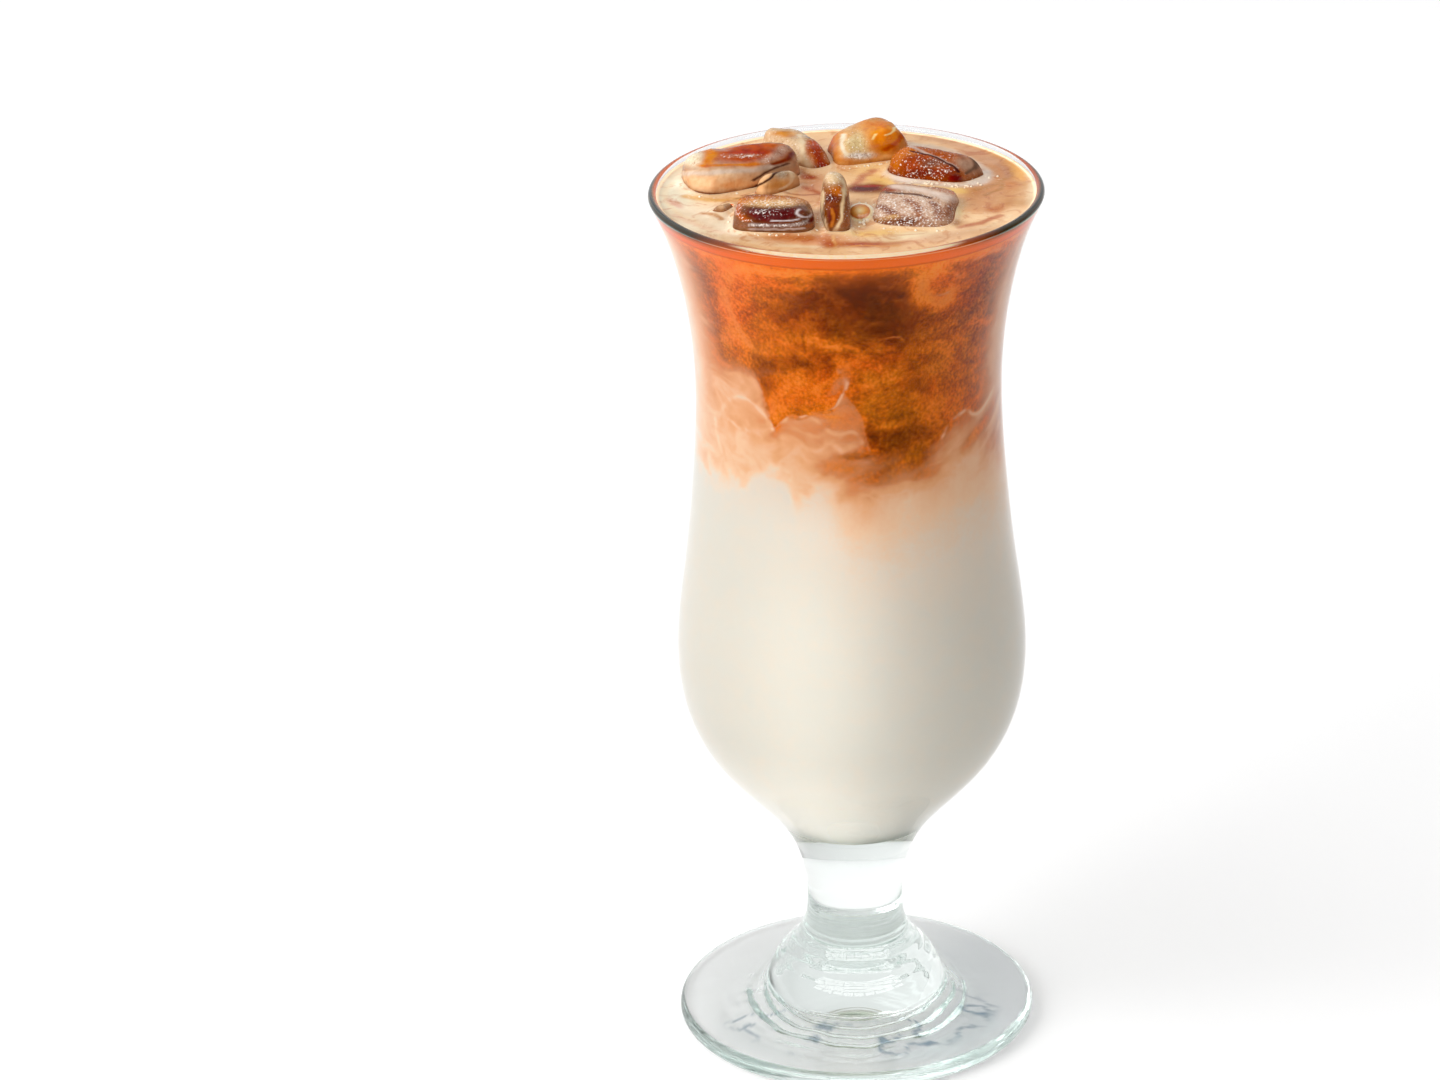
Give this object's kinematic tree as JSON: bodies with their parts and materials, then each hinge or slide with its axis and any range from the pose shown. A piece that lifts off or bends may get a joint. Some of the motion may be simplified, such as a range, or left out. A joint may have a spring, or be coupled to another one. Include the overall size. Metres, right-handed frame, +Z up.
{
  "type": "iced latte in a stemmed glass",
  "caption": "Layered iced latte, brim-full in a clear waisted glass on a short stem and round foot, with coffee over milk and ice standing out of the crema.",
  "frame": {"origin": "middle of the foot, on the surface that the glass stands on", "axes": "+Z up along the glass's axis; -Y is the front, as the picture shows it; +X is the viewer's right"},
  "size_m": [0.084, 0.084, 0.2036],
  "materials": {
    "clear_glass": "clear, polished, faint green in the foot",
    "milk": "off-white milk",
    "latte": "milk and coffee in peach swirls",
    "coffee": "brown coffee with amber swirls",
    "crema": "tan foam with fine bubbles",
    "ice": "wet, melted ice, partly frosted, coffee showing through"
  },
  "bodies": {
    "root": {"glass": "clear_glass", "milk": "milk", "latte_swirl": "latte", "coffee": "coffee", "crema": "crema", "ice_left": "ice", "ice_left_small": "ice", "ice_back_left": "ice", "ice_back": "ice", "ice_right": "ice", "ice_front_left": "ice", "ice_front_shard": "ice", "ice_front_right": "ice", "ice_chip": "ice"}
  },
  "joints": []
}
